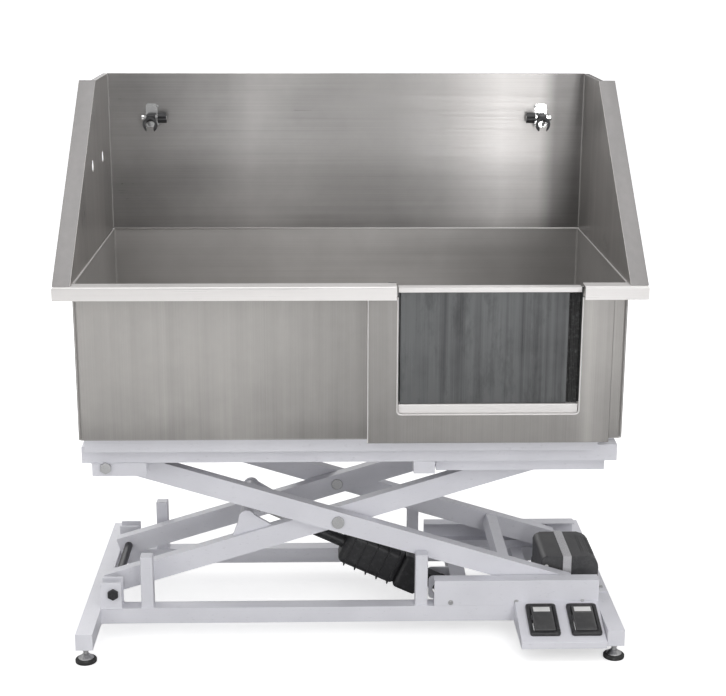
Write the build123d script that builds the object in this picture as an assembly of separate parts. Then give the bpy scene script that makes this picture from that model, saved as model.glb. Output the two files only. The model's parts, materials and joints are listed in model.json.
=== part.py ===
from build123d import *
import math
import os

# Lifting pet bathtub: stainless tub with splash hood and lift-up door, on an electric X-scissor lift.
# Millimetres. X along the tub, -Y the user's side, +Z up, origin on the floor under the middle.

# ---- driving dimensions ---------------------------------------------------------------------------
LENGTH = 1300.0            # over the rim
DEPTH = 720.0              # front rim edge to the rear ends of the base
SHEET = 2.0                # stainless sheet
LIFT_MID = 5.0             # Y of the lift's own middle plane

# tub
WALL_X = 612.0             # outer face of the end walls
FRONT_Y = -322.0           # outer face of the front wall
BACK_Y = 350.0             # outer face of the back wall
FLOOR_Z = 545.0            # underside of the basin floor
RIM_Z = 905.0              # top of the rim
RIM_LIP = 30.0             # depth of the rim's turned-down edge
RIM_ENDS = (98.0, 510.0)   # where the rim stops on each side of the door
HOOD_TOP_Z = 1305.0
WING_TOP_Y = 143.0         # front end of the wing's top edge
WING_FLANGE = 38.0
HEM = 10.0                 # turned-out edge along the top of the hood

# door
DOOR_X = (102.0, 512.0)    # clear opening
DOOR_SILL_Z = 603.0
DOOR_FRAME_X = (35.0, 582.0)
DOOR_FRAME_Z = 536.0
FRAME_RAISE = 4.0
PANEL_X = (108.0, 483.0)
PANEL_Z = (627.0, 893.0)

# scissor
ARM_HALF = 565.0           # pivot to centre pin
REST_DEG = 17.0
ARM_H = 50.0
ARM_W = 30.0
ARM_END = 25.0             # tube beyond the end pivots
PIVOT_X = -569.0
PIVOT_Z = 116.0
SHAFT_R = 10.0
RUN_FIT = 0.05             # radial running clearance
ARM_A_Y = (-160.0, -130.0)
ARM_B_Y = (-125.0, -95.0)
ROLLER_R = 20.0
AXLE_R = 8.0

# base and upper frame
TUBE = 40.0
TUBE_WALL = 2.5
BEAM_X = 620.0
BASE_Z = 38.0              # underside of the base tubes
BASE_Y = (-340.0, 360.0)
RAIL_Y = (-198.0, -158.0)
POST = 30.0
POST_TOP = 208.0
POST_X = (-488.0, 172.0)
UPPER_Z = 457.0            # underside of the upper beams
UPPER_Y = (-225.0, -185.0)
UPPER_X = 624.0
TRACK_X = (203.0, 602.0)
TRACK_SHEET = 3.0

# actuator: foot pivot on the base and rod pivot on the lever of the inner arms
FOOT_PIN = (235.0, 50.0)
LEVER_PIN = (-250.0, 275.0)
LEVER_JOURNAL_R = 9.0
ROD_R = 11.0
OUTER_TUBE_R = 17.0

# levelling feet
PAD_R = 25.0
FOOT_X = 620.0
STUD_R = 6.0
FOOT_Y = (-318.0, 335.0)

# plinth under the basin, drain and tap holes
SKIRT_X = (-610.0, 560.0)
SKIRT_Y = (-266.0, 290.0)
SKIRT_SLOPE = 28.0         # the right-hand end leans out by this much
DRAIN = (-420.0, 5.0)
DRAIN_SEAT_Z = FLOOR_Z - 8
OUTLET_R = 20.0
TAP_Y = (48.0, 214.0)
TAP_Z = 1112.0
TAP_R = 14.0

# shower holders on the splash back
HOLDER_X = 500.0
HOLDER_Z = 1195.0
HOLDER_Y = BACK_Y - SHEET - 24
HOLDER_BOLT_R = 5.0
CLIP_R = 18.0
CLIP_DEPTH = 14.0
CLIP_TILT = 65.0
CLIP_OFFSET = (24.0, 15.0) # ring centre in front of the bolt, and below it

# pedal unit: height of its sloping top at the back and at the front
PEDAL_BOX_X = (398.0, 599.0)
PEDAL_BACK_Y = RAIL_Y[0]
PEDAL_FRONT_Y = -345.0
PEDAL_TOP = (90.0, 51.0)
PEDAL_LOW = 34.0
PEDAL_MID_X = (457.0, 555.0)
PEDAL_DOWN_SLOPE = 72.0    # middle of a pedal from the rear edge of the slope
PEDAL_PAD = (52.0, 92.0)

# control box and leads
CONTROL_X = (470.0, 616.0)
CONTROL_Y = (-120.0, 46.0)
CONTROL_Z = (81.0, 171.0)
STRAP_X = (525.0, 546.0)
PLUG_Y = (-88.0, -60.0)
PLUG_Z = 101.0
PLUG_REACH = 57.0
LEAD_R = 3.0
PEDAL_ROUTE = ((390, -88, 101), (372, -102, 80), (376, -130, 47), (397, -162, 28), (420, -196, 25),
               (433, -224, 34), (437, -240, 56))
ACTUATOR_ROUTE = ((389, -60, 101), (362, -57, 84), (340, -52, 68), (318, -48, 60), (297, -48, 60))

nodes = {}


# ---- helpers --------------------------------------------------------------------------------------
def block(x, y, z):
    """Box between the two values of each pair."""
    lo = [min(p) for p in (x, y, z)]
    hi = [max(p) for p in (x, y, z)]
    size = [b - a for a, b in zip(lo, hi)]
    return Pos(*[(a + b) / 2 for a, b in zip(lo, hi)]) * Box(*size)


def hollow(x, y, z, wall=TUBE_WALL, capped=False):
    """Rectangular tube along its longest side."""
    spans = [x, y, z]
    sizes = [abs(p[1] - p[0]) for p in spans]
    run = sizes.index(max(sizes))
    inner = []
    for i, p in enumerate(spans):
        a, b = min(p), max(p)
        if i == run:
            inner.append((a + wall, b - wall) if capped else (a - 1, b + 1))
        else:
            inner.append((a + wall, b - wall))
    return block(*spans) - block(*inner)


def rod_x(x0, x1, y, z, r):
    return Pos((x0 + x1) / 2, y, z) * Rot(0, 90, 0) * Cylinder(r, abs(x1 - x0))


def rod_y(y0, y1, x, z, r):
    return Pos(x, (y0 + y1) / 2, z) * Rot(90, 0, 0) * Cylinder(r, abs(y1 - y0))


def rod_z(z0, z1, x, y, r):
    return Pos(x, y, (z0 + z1) / 2) * Cylinder(r, abs(z1 - z0))


def other_side(span):
    """Y span mirrored in the lift's middle plane."""
    return (2 * LIFT_MID - span[1], 2 * LIFT_MID - span[0])


def both_sides(span):
    return (span, other_side(span))


def plate_xz(points, y0, y1):
    """Plate cut from a polygon of (x, z) points, between two Y values."""
    face = make_face(Polyline([(x, y0, z) for x, z in points], close=True))
    return extrude(face, amount=y1 - y0, dir=(0, 1, 0))


def plate_yz(points, x0, x1):
    face = make_face(Polyline([(x0, y, z) for y, z in points], close=True))
    return extrude(face, amount=x1 - x0, dir=(1, 0, 0))


def group(*shapes):
    """Separate solids kept in one node."""
    solids = [s for shape in shapes for s in shape.solids()]
    return Compound(children=solids)


def on_arm(u, v, sign):
    """World (x, z) of a point u along and v above an arm's centre line, from its left pivot."""
    a = math.radians(REST_DEG) * sign
    x0, z0 = (PIVOT_X, PIVOT_Z) if sign > 0 else (PIVOT_X, TOP_PIVOT_Z)
    return (x0 + u * math.cos(a) - v * math.sin(a), z0 + u * math.sin(a) + v * math.cos(a))


TOP_PIVOT_Z = PIVOT_Z + 2 * ARM_HALF * math.sin(math.radians(REST_DEG))
RIGHT_X = PIVOT_X + 2 * ARM_HALF * math.cos(math.radians(REST_DEG))
CENTRE = ((PIVOT_X + RIGHT_X) / 2, (PIVOT_Z + TOP_PIVOT_Z) / 2)


# ---- base -----------------------------------------------------------------------------------------
def base_frame():
    top = BASE_Z + TUBE
    z = (BASE_Z, top)
    beams = []
    for s in (-1, 1):
        beam = hollow((s * BEAM_X - TUBE / 2, s * BEAM_X + TUBE / 2), BASE_Y, z, capped=True)
        for y in FOOT_Y:
            beam -= rod_z(BASE_Z - 1, BASE_Z + TUBE_WALL + 1, s * FOOT_X, y, STUD_R + RUN_FIT)
        beams.append(beam)
    nodes["base_beams"] = group(*beams)
    inner_x = BEAM_X - TUBE / 2
    nodes["base_rails"] = group(*[hollow((-inner_x, inner_x), y, z) for y in both_sides(RAIL_Y)])
    # shaft brackets: a channel standing on each rail
    brackets = []
    for y in both_sides(RAIL_Y):
        x = (PIVOT_X - 30, PIVOT_X + 20)
        body = block(x, y, (top, top + 5))
        for cheek in ((y[0], y[0] + 5), (y[1] - 5, y[1])):
            body += block(x, cheek, (top, PIVOT_Z + 28))
        brackets.append(body - rod_y(y[0] - 1, y[1] + 1, PIVOT_X, PIVOT_Z, SHAFT_R + RUN_FIT))
    nodes["lower_brackets"] = group(*brackets)
    # rest posts
    posts = []
    for y in both_sides(RAIL_Y):
        mid = sum(y) / 2
        for x in POST_X:
            posts.append(hollow((x - POST / 2, x + POST / 2), (mid - POST / 2, mid + POST / 2),
                                (top, POST_TOP), wall=2, capped=True))
    nodes["rest_posts"] = group(*posts)


def lower_tracks():
    """Channels for the lower rollers, on a packing bar flush with each rail's outer face."""
    top = BASE_Z + TUBE
    floor = PIVOT_Z - ROLLER_R - 0.3
    roof = PIVOT_Z + ROLLER_R + 3.7
    tracks = []
    for side, y in zip((1, -1), both_sides((RAIL_Y[0], RAIL_Y[0] + 35))):
        outer = y[0] if side > 0 else y[1]
        web = sorted((outer, outer + side * TRACK_SHEET))
        body = block(TRACK_X, web, (top, roof + TRACK_SHEET))
        body += block(TRACK_X, y, (floor - TRACK_SHEET, floor))
        body += block(TRACK_X, y, (roof, roof + TRACK_SHEET))
        body += block(TRACK_X, y, (top, floor - TRACK_SHEET))
        tracks.append(body)
    nodes["lower_tracks"] = group(*tracks)


def actuator_mount():
    """Cross tube with two cheeks. Each cheek has a round window that clears the foot pin's small travel."""
    x = (FOOT_PIN[0] + 22, FOOT_PIN[0] + 62)
    rails = (RAIL_Y[1], other_side(RAIL_Y)[0])
    z = (20, BASE_Z + TUBE + 3)
    pieces = [hollow(x, rails, (BASE_Z, BASE_Z + TUBE))]
    for s in (-1, 1):
        y = sorted((LIFT_MID + s * 26, LIFT_MID + s * 31))
        cheek = block((FOOT_PIN[0] - 34, x[0]), y, z)
        cheek = fillet(cheek.edges().filter_by(Axis.Y).group_by(Axis.X)[0], 12)
        pieces.append(cheek - rod_y(y[0] - 1, y[1] + 1, FOOT_PIN[0] - 7.5, FOOT_PIN[1] - 4, 16))
    nodes["actuator_mount"] = group(*pieces)


# ---- arms -----------------------------------------------------------------------------------------
def arm(y, sign, holes):
    """Rectangular tube arm with cross holes at distances u from its left pivot."""
    mid_u = ARM_HALF
    cx, cz = on_arm(mid_u, 0, sign)
    place = Pos(cx, (y[0] + y[1]) / 2, cz) * Rot(0, -sign * REST_DEG, 0)
    length = 2 * ARM_HALF + 2 * ARM_END
    wall = 3
    body = place * (Box(length, ARM_W, ARM_H) - Box(length - 2 * wall, ARM_W - 2 * wall, ARM_H - 2 * wall))
    for u, r in holes:
        hx, hz = on_arm(u, 0, sign)
        body -= rod_y(y[0] - 1, y[1] + 1, hx, hz, r)
    return body


def arms():
    pin = SHAFT_R + RUN_FIT
    axle = AXLE_R + RUN_FIT
    holes = ((0, pin), (ARM_HALF, pin), (2 * ARM_HALF, axle))
    nodes["outer_arms"] = group(*[arm(y, -1, holes) for y in both_sides(ARM_A_Y)])
    nodes["inner_arms"] = group(*[arm(y, 1, holes) for y in both_sides(ARM_B_Y)])


def shaft(bracket_y, arm_y, z):
    """Through shaft with a hexagon head outside each bracket and a spacer between bracket and arm."""
    body = rod_y(bracket_y[0] - 1, 2 * LIFT_MID - bracket_y[0] + 1, PIVOT_X, z, SHAFT_R)
    for bracket, arm_span in zip(both_sides(bracket_y), both_sides(arm_y)):
        side = 1 if bracket[0] < 0 else -1
        outer, inner = bracket if side > 0 else bracket[::-1]
        arm_face = arm_span[0] if side > 0 else arm_span[1]
        hexagon = Plane(origin=(PIVOT_X, outer - side, z), z_dir=(0, -side, 0)) * RegularPolygon(14, 6)
        body += extrude(hexagon, amount=7)
        body += rod_y(inner + side, arm_face - side * 0.5, PIVOT_X, z, 14)
    return body


def pivots():
    nodes["lower_pivot_shaft"] = shaft(RAIL_Y, ARM_B_Y, PIVOT_Z)
    nodes["upper_pivot_shaft"] = shaft(UPPER_Y, ARM_A_Y, TOP_PIVOT_Z)
    pins = []
    lower_axles = []
    upper_axles = []
    for side, a, b in ((1, ARM_A_Y, ARM_B_Y), (-1, other_side(ARM_A_Y), other_side(ARM_B_Y))):
        out_a = a[0] if side > 0 else a[1]
        in_b = b[1] if side > 0 else b[0]
        pin = rod_y(out_a - side * 6, in_b + side * 4, *CENTRE, SHAFT_R)
        pin += rod_y(out_a - side * 6, out_a - side * 0.5, *CENTRE, 15)
        pin += rod_y(in_b + side * 0.5, in_b + side * 4, *CENTRE, 14)
        pins.append(pin)
        lower_axles.append(axle(out_a, side, RIGHT_X, PIVOT_Z))
        upper_axles.append(axle(b[0] if side > 0 else b[1], side, RIGHT_X, TOP_PIVOT_Z))
    nodes["centre_pins"] = group(*pins)
    nodes["lower_roller_axles"] = group(*lower_axles)
    nodes["upper_roller_axles"] = group(*upper_axles)


def axle(arm_face, side, x, z):
    """Axle bolted through an arm, with a spacer collar and an end head."""
    reach = 6 if z == PIVOT_Z else 28
    outer = arm_face - side * (reach + 26)
    body = rod_y(arm_face + side * (ARM_W + 1), outer - side * 0.6, x, z, AXLE_R)
    body += rod_y(arm_face - side * 0.4, arm_face - side * (reach - 0.4), x, z, 12)
    body += rod_y(outer - side * 0.4, outer - side * 1.6, x, z, 11)
    body += rod_y(arm_face + side * (ARM_W + 0.5), arm_face + side * (ARM_W + 6), x, z, 12)
    return body


def rollers():
    for side, end, a, b in ((1, "front", ARM_A_Y[0], ARM_B_Y[0]),
                            (-1, "rear", other_side(ARM_A_Y)[1], other_side(ARM_B_Y)[1])):
        lower = sorted((a - side * 6, a - side * 32))
        upper = sorted((b - side * 28, b - side * 54))
        nodes["lower_roller_" + end] = wheel(lower, RIGHT_X, PIVOT_Z)
        nodes["upper_roller_" + end] = wheel(upper, RIGHT_X, TOP_PIVOT_Z)


def wheel(y, x, z):
    body = rod_y(*y, x, z, ROLLER_R)
    body = chamfer(body.edges().filter_by(GeomType.CIRCLE), 1.5)
    return body - rod_y(y[0] - 1, y[1] + 1, x, z, AXLE_R + RUN_FIT)


def arm_links():
    """Cross tube between the outer arms, and the lever on the inner arms that the actuator pushes."""
    y_a = (ARM_A_Y[1], other_side(ARM_A_Y)[0])
    cx, cz = on_arm(981, 8, -1)
    link = Pos(cx, LIFT_MID, cz) * Rot(0, REST_DEG, 0)
    span = y_a[1] - y_a[0]
    nodes["outer_arm_cross_tube"] = link * (Box(30, span, 30) - Box(25, span + 2, 25))
    y_b = (ARM_B_Y[1], other_side(ARM_B_Y)[0])
    nodes["lever"] = group(lever_tube(y_b), *lever_gussets())


def lever_tube(y_b):
    """Round tube in two lengths, joined by a solid journal between its inner ends."""
    body = rod_y(*y_b, *LEVER_PIN, 17)
    body -= rod_y(y_b[0] - 1, LIFT_MID - 45, *LEVER_PIN, 13)
    body -= rod_y(LIFT_MID + 45, y_b[1] + 1, *LEVER_PIN, 13)
    groove = (LIFT_MID - 20, LIFT_MID + 20)
    return body - (rod_y(*groove, *LEVER_PIN, 18) - rod_y(*groove, *LEVER_PIN, LEVER_JOURNAL_R))


def lever_gussets():
    """Triangular plates that stand on the inner arms and carry the lever tube on short stubs."""
    reach = math.hypot(LEVER_PIN[0] - PIVOT_X, LEVER_PIN[1] - PIVOT_Z)
    lean = math.atan2(LEVER_PIN[1] - PIVOT_Z, LEVER_PIN[0] - PIVOT_X) - math.radians(REST_DEG)
    foot = reach * math.cos(lean)
    high = reach * math.sin(lean)
    outline = [on_arm(foot - 48, ARM_H / 2, 1), on_arm(foot + 52, ARM_H / 2, 1),
               on_arm(foot + 19, high + 4, 1), on_arm(foot - 19, high + 4, 1)]
    plates = []
    for side, face in ((1, ARM_B_Y[0]), (-1, other_side(ARM_B_Y)[1])):
        y = sorted((face + side * 10, face + side * 20))
        stub = sorted((face + side * 20, face + side * ARM_W))
        plates.append(plate_xz(outline, *y) + rod_y(*y, *LEVER_PIN, 20) + rod_y(*stub, *LEVER_PIN, 17))
    return plates


# ---- actuator -------------------------------------------------------------------------------------
def actuator_axis():
    """Placing for parts drawn along X from the foot pin towards the lever, with Z across the axis."""
    dx = LEVER_PIN[0] - FOOT_PIN[0]
    dz = LEVER_PIN[1] - FOOT_PIN[1]
    tilt = math.degrees(math.atan2(dz, -dx))
    return math.hypot(dx, dz), Pos(FOOT_PIN[0], LIFT_MID, FOOT_PIN[1]) * Rot(0, tilt, 0) * Rot(0, 0, 180)


def on_axis(place, t0, t1, r):
    return place * Pos((t0 + t1) / 2, 0, 0) * Rot(0, 90, 0) * Cylinder(r, t1 - t0)


def actuator():
    reach, place = actuator_axis()
    nodes["actuator_tube"] = on_axis(place, 52, 400, OUTER_TUBE_R) - on_axis(place, 60, 401, ROD_R + RUN_FIT)
    shell = Box(218, 86, 92)
    shell = fillet(shell.edges().filter_by(Axis.X), 18)
    shell = fillet(shell.edges().group_by(Axis.X)[-1], 8)
    body = place * Pos(165, 0, -1) * shell
    tail = place * Pos(28, 0, 0) * Box(60, 40, 34) + rod_y(LIFT_MID - 20, LIFT_MID + 20, *FOOT_PIN, 17)
    body = body + tail - on_axis(place, 52, 290, OUTER_TUBE_R)
    nodes["actuator_housing"] = body - rod_y(LIFT_MID - 25, LIFT_MID + 25, *FOOT_PIN, 6)
    pin = rod_y(LIFT_MID - 36, LIFT_MID + 36, *FOOT_PIN, 6)
    for s in (-1, 1):
        pin += rod_y(LIFT_MID + s * 31.6, LIFT_MID + s * 34.6, *FOOT_PIN, 20)
    nodes["actuator_foot_pin"] = pin
    eye = rod_y(LIFT_MID - 18, LIFT_MID + 18, *LEVER_PIN, 21)
    rod = on_axis(place, 140, reach - 12, ROD_R) + on_axis(place, reach - 36, reach - 12, 15) + eye
    nodes["actuator_rod"] = rod - rod_y(LIFT_MID - 25, LIFT_MID + 25, *LEVER_PIN, LEVER_JOURNAL_R + RUN_FIT)


# ---- upper frame ----------------------------------------------------------------------------------
def upper_frame():
    z = (UPPER_Z, UPPER_Z + TUBE)
    beams = [hollow((-UPPER_X, UPPER_X), y, z, capped=True) for y in both_sides(UPPER_Y)]
    y_in = (UPPER_Y[1], other_side(UPPER_Y)[0])
    cross = [hollow((x0, x1), y_in, z) for x0, x1 in
             ((-UPPER_X, -UPPER_X + 20), (-350, -310), (150, 190), (UPPER_X - 20, UPPER_X))]
    nodes["upper_frame_tubes"] = group(*beams, *cross)
    brackets = []
    for y in both_sides(UPPER_Y):
        left, right, low = PIVOT_X - 32, PIVOT_X + 94, POST_TOP + 217
        body = block((left, right), y, (UPPER_Z - 4, UPPER_Z))
        for cheek in ((y[0], y[0] + 5), (y[1] - 5, y[1])):
            body += block((left, right), cheek, (low, UPPER_Z))
        brackets.append(body - rod_y(y[0] - 1, y[1] + 1, PIVOT_X, TOP_PIVOT_Z, SHAFT_R + RUN_FIT))
    for side, y in ((1, UPPER_Y), (-1, other_side(UPPER_Y))):
        inner = y[1] if side > 0 else y[0]
        span = sorted((inner - side * 34, inner + side * 12))
        brackets.append(block((POST_X[1] - 24, POST_X[1] + 26), span, (POST_TOP + 217, UPPER_Z)))
    nodes["upper_brackets"] = group(*brackets)
    tracks = []
    roof = TOP_PIVOT_Z + ROLLER_R + 0.3
    floor = TOP_PIVOT_Z - ROLLER_R - 2.7
    for side, y in ((1, UPPER_Y), (-1, other_side(UPPER_Y))):
        outer = y[1] if side > 0 else y[0]
        web = sorted((outer, outer + side * TRACK_SHEET))
        depth = sorted((outer, outer + side * 37))
        x = (TRACK_X[0], TRACK_X[1] + 1)
        body = block(x, web, (floor - TRACK_SHEET, roof + TRACK_SHEET))
        body += block(x, depth, (floor - TRACK_SHEET, floor))
        body += block(x, depth, (roof, roof + TRACK_SHEET))
        tracks.append(body)
    nodes["upper_tracks"] = group(*tracks)


# ---- tub ------------------------------------------------------------------------------------------
def basin():
    inner_y = (FRONT_Y + SHEET, BACK_Y - SHEET)
    floor = block((-WALL_X + SHEET, WALL_X - SHEET), inner_y, (FLOOR_Z, FLOOR_Z + SHEET))
    nodes["basin_floor"] = floor - rod_z(FLOOR_Z - 1, FLOOR_Z + 5, *DRAIN, 30)
    front = block((-WALL_X, WALL_X), (FRONT_Y, FRONT_Y + SHEET), (FLOOR_Z, RIM_Z - SHEET))
    opening = block(DOOR_X, (FRONT_Y - 5, FRONT_Y + 5), (DOOR_SILL_Z, RIM_Z + 5))
    corners = opening.edges().filter_by(Axis.Y).group_by(Axis.Z)[0]
    opening = fillet(corners, 8)
    nodes["basin_front"] = front - opening
    nodes["basin_back"] = block((-WALL_X, WALL_X), (BACK_Y - SHEET, BACK_Y), (FLOOR_Z, RIM_Z))
    nodes["basin_ends"] = group(*[block((s * WALL_X, s * (WALL_X - SHEET)), inner_y, (FLOOR_Z, RIM_Z))
                                  for s in (-1, 1)])
    frame = block(DOOR_FRAME_X, (FRONT_Y - FRAME_RAISE, FRONT_Y), (DOOR_FRAME_Z, RIM_Z - RIM_LIP - 1))
    nodes["door_frame"] = frame - opening


def rim():
    """Flat rim turned down at its edge, open over the door."""
    edge = LENGTH / 2
    front = (-DEPTH / 2, -DEPTH / 2 + SHEET)
    top = (RIM_Z - SHEET, RIM_Z)
    lip = (RIM_Z - RIM_LIP, RIM_Z)
    pieces = []
    for x in ((-edge, RIM_ENDS[0]), (RIM_ENDS[1], edge)):
        pieces.append(block(x, (front[0], FRONT_Y + SHEET), top) + block(x, front, lip))
    for s in (-1, 1):
        side = block((s * WALL_X, s * edge), (FRONT_Y + SHEET, BACK_Y), top)
        side += block((s * (edge - SHEET), s * edge), (FRONT_Y + SHEET, BACK_Y), lip)
        side += block((s * (edge - SHEET), s * edge), (front[1], FRONT_Y + SHEET), (lip[0], top[0]))
        pieces.append(side)
    nodes["rim"] = group(*pieces)


def hood():
    back = block((-WALL_X, WALL_X), (BACK_Y - SHEET, BACK_Y), (RIM_Z, HOOD_TOP_Z))
    back += block((-WALL_X, WALL_X), (BACK_Y, BACK_Y + HEM), (HOOD_TOP_Z - SHEET, HOOD_TOP_Z))
    nodes["splash_back"] = back
    run = WING_TOP_Y + DEPTH / 2 - 8
    rise = HOOD_TOP_Z - RIM_Z
    foot_y = WING_TOP_Y - run
    slope = math.degrees(math.atan2(rise, run))
    for name, s in (("wing_left", -1), ("wing_right", 1)):
        outline = [(foot_y, RIM_Z), (BACK_Y - SHEET, RIM_Z), (BACK_Y - SHEET, HOOD_TOP_Z),
                   (WING_TOP_Y, HOOD_TOP_Z)]
        lo, hi = sorted((s * WALL_X, s * (WALL_X - SHEET)))
        wing = plate_yz(outline, lo, hi)
        lo, hi = sorted((s * WALL_X, s * (WALL_X + WING_FLANGE)))
        t = SHEET / math.sin(math.radians(slope))
        flange = plate_yz([(foot_y, RIM_Z), (foot_y + t, RIM_Z), (WING_TOP_Y + t, HOOD_TOP_Z),
                           (WING_TOP_Y, HOOD_TOP_Z)], lo, hi)
        lo, hi = sorted((s * WALL_X, s * (WALL_X + HEM)))
        hem = block((lo, hi), (WING_TOP_Y, BACK_Y), (HOOD_TOP_Z - SHEET, HOOD_TOP_Z))
        body = wing + flange + hem
        if s < 0:
            for y in TAP_Y:
                body -= rod_x(-WALL_X - 5, -WALL_X + 5, y, TAP_Z, TAP_R)
        nodes[name] = body


def skirts():
    """Square-tube plinth under the basin, cut back at the right-hand end."""
    z = (UPPER_Z + TUBE, FLOOR_Z)
    x, y = SKIRT_X, SKIRT_Y
    bars = []
    for lo, hi in ((y[0], y[0] + 20), (y[1] - 20, y[1])):
        outer = [(x[0], z[0]), (x[1], z[0]), (x[1] + SKIRT_SLOPE, z[1]), (x[0], z[1])]
        inner = [(x[0] - 1, z[0] + 2), (x[1] + 3, z[0] + 2), (x[1] + SKIRT_SLOPE - 3, z[1] - 2),
                 (x[0] - 1, z[1] - 2)]
        bars.append(plate_xz(outer, lo, hi) - plate_xz(inner, lo + 2, hi - 2))
    for lo in (x[0], -20, x[1] - 20):
        bars.append(hollow((lo, lo + 20), (y[0] + 20, y[1] - 20), z, wall=2))
    nodes["tub_skirts"] = group(*bars)


def drain():
    body = rod_z(FLOOR_Z + SHEET, FLOOR_Z + SHEET + 2, *DRAIN, 40)
    body += rod_z(FLOOR_Z - 45, FLOOR_Z + SHEET + 1, *DRAIN, 29.5)
    body += rod_z(FLOOR_Z - 78, FLOOR_Z - 44, *DRAIN, OUTLET_R)
    body -= rod_z(FLOOR_Z - 42, FLOOR_Z + 10, *DRAIN, 26.5)
    body -= rod_z(FLOOR_Z - 80, FLOOR_Z - 40, *DRAIN, OUTLET_R - 3)
    seat = rod_z(DRAIN_SEAT_Z, DRAIN_SEAT_Z + 3, *DRAIN, 27)
    seat -= rod_z(DRAIN_SEAT_Z - 1, DRAIN_SEAT_Z + 4, *DRAIN, 22)
    nodes["drain_body"] = body + seat
    cover = rod_z(DRAIN_SEAT_Z + 3, DRAIN_SEAT_Z + 6, *DRAIN, 26)
    for ring, count in ((9, 6), (18, 12)):
        for i in range(count):
            a = 2 * math.pi * i / count
            x = DRAIN[0] + ring * math.cos(a)
            y = DRAIN[1] + ring * math.sin(a)
            cover -= rod_z(DRAIN_SEAT_Z, FLOOR_Z, x, y, 2.4)
    nodes["drain_strainer"] = cover


# ---- door -----------------------------------------------------------------------------------------
def door():
    """Lift-up door: a folded pan whose side tongues slide in guides behind the front wall."""
    skin_y = FRONT_Y + 6
    z0, z1 = PANEL_Z
    body = block(PANEL_X, (skin_y, skin_y + SHEET), (z0, z1))
    body += block(PANEL_X, (skin_y, skin_y + 12), (z0, z0 + SHEET))
    for x in (PANEL_X[0], PANEL_X[1] - SHEET):
        body += block((x, x + SHEET), (skin_y, skin_y + 12), (z0, z1))
    body += block((DOOR_X[0] - 18, DOOR_X[1] + 18), (skin_y + 12, skin_y + 12 + SHEET), (z0, z1))
    grip = (RIM_ENDS[0] + 5, RIM_ENDS[1] - 2)
    body += block(grip, (FRONT_Y - 6, skin_y + 12 + SHEET), (z1, z1 + SHEET + 1))
    body += block(grip, (FRONT_Y - 6, FRONT_Y - 4), (z1 - 8, z1))
    nodes["door_panel"] = body
    guides = []
    tongue = (skin_y + 12, skin_y + 12 + SHEET)
    for s, x in ((-1, DOOR_X[0]), (1, DOOR_X[1])):
        far = x + s * 22
        span = sorted((x + s * 3, far))
        tall = (DOOR_SILL_Z, RIM_Z - SHEET - 1)
        guide = block(span, (FRONT_Y + SHEET, tongue[0] - 1), tall)
        guide += block(span, (tongue[1] + 1, tongue[1] + 4), tall)
        guide += block((far - s * 2.5, far), (FRONT_Y + SHEET, tongue[1] + 4), tall)
        guides.append(guide)
    nodes["door_guides"] = group(*guides)
    sill = block((DOOR_X[0] + 3, DOOR_X[1] - 3), (FRONT_Y + SHEET, skin_y + 18), (DOOR_SILL_Z - 6, z0 - 1))
    nodes["door_sill"] = fillet(sill.edges().filter_by(Axis.X), 2.5)


# ---- shower holders -------------------------------------------------------------------------------
def holders():
    plates = []
    for s, side in ((-1, "left"), (1, "right")):
        x = s * HOLDER_X
        wall = BACK_Y - SHEET
        plate = block((x - 15, x + 15), (wall - 3, wall), (HOLDER_Z - 26, HOLDER_Z + 34))
        plate = fillet(plate.edges().filter_by(Axis.Y), 8)
        for ear in (-16, 12):
            plate += block((x + ear, x + ear + 4), (HOLDER_Y - 7, wall - 2), (HOLDER_Z - 7, HOLDER_Z + 7))
        plate += rod_x(x + s * 17, x - s * 40, HOLDER_Y, HOLDER_Z, HOLDER_BOLT_R)
        plate += rod_x(x + s * 17, x + s * 23, HOLDER_Y, HOLDER_Z, 8)
        plates.append(plate)
        hub = rod_x(x - 11, x + 11, HOLDER_Y, HOLDER_Z, 9)
        ring_place = Pos(x, HOLDER_Y - CLIP_OFFSET[0], HOLDER_Z - CLIP_OFFSET[1]) * Rot(CLIP_TILT, 0, 0)
        clip = ring_place * holder_clip()
        web = block((x - 8, x + 8), (HOLDER_Y - 22, HOLDER_Y), (HOLDER_Z - 3, HOLDER_Z + 7))
        bore = rod_x(x - 20, x + 20, HOLDER_Y, HOLDER_Z, HOLDER_BOLT_R + RUN_FIT)
        nodes["shower_cradle_" + side] = hub + web + clip - bore
        near = x - s * 17.5
        far = near - s * 22
        knob = rod_x(near, far, HOLDER_Y, HOLDER_Z, 13)
        for i in range(6):
            a = math.pi / 3 * i
            y = HOLDER_Y + 15 * math.cos(a)
            z = HOLDER_Z + 15 * math.sin(a)
            knob -= rod_x(near + s, far - s, y, z, 4.5)
        bore = rod_x(near + s * 20, far - s * 8, HOLDER_Y, HOLDER_Z, HOLDER_BOLT_R + RUN_FIT)
        nodes["holder_knob_" + side] = knob - bore
    nodes["holder_plates"] = group(*plates)


def holder_clip():
    """Open ring for the handset: the axis along Z and the gap towards -Y, before it is tilted."""
    ring = Cylinder(CLIP_R, CLIP_DEPTH) - Cylinder(CLIP_R - 6, CLIP_DEPTH + 2)
    return ring - Pos(0, -14, 0) * Box(19, 16, CLIP_DEPTH + 2)


# ---- pedal unit -----------------------------------------------------------------------------------
def pedal_slope():
    return math.degrees(math.atan2(PEDAL_TOP[0] - PEDAL_TOP[1], PEDAL_BACK_Y - PEDAL_FRONT_Y))


def pedal_place(x, along_y, up):
    """Location on the sloping top: X of the pedal, distance from the rear edge, height above it."""
    a = math.radians(pedal_slope())
    y = PEDAL_BACK_Y - along_y * math.cos(a) - up * math.sin(a)
    z = PEDAL_TOP[0] - along_y * math.sin(a) + up * math.cos(a)
    return Pos(x, y, z) * Rot(pedal_slope(), 0, 0)


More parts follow.
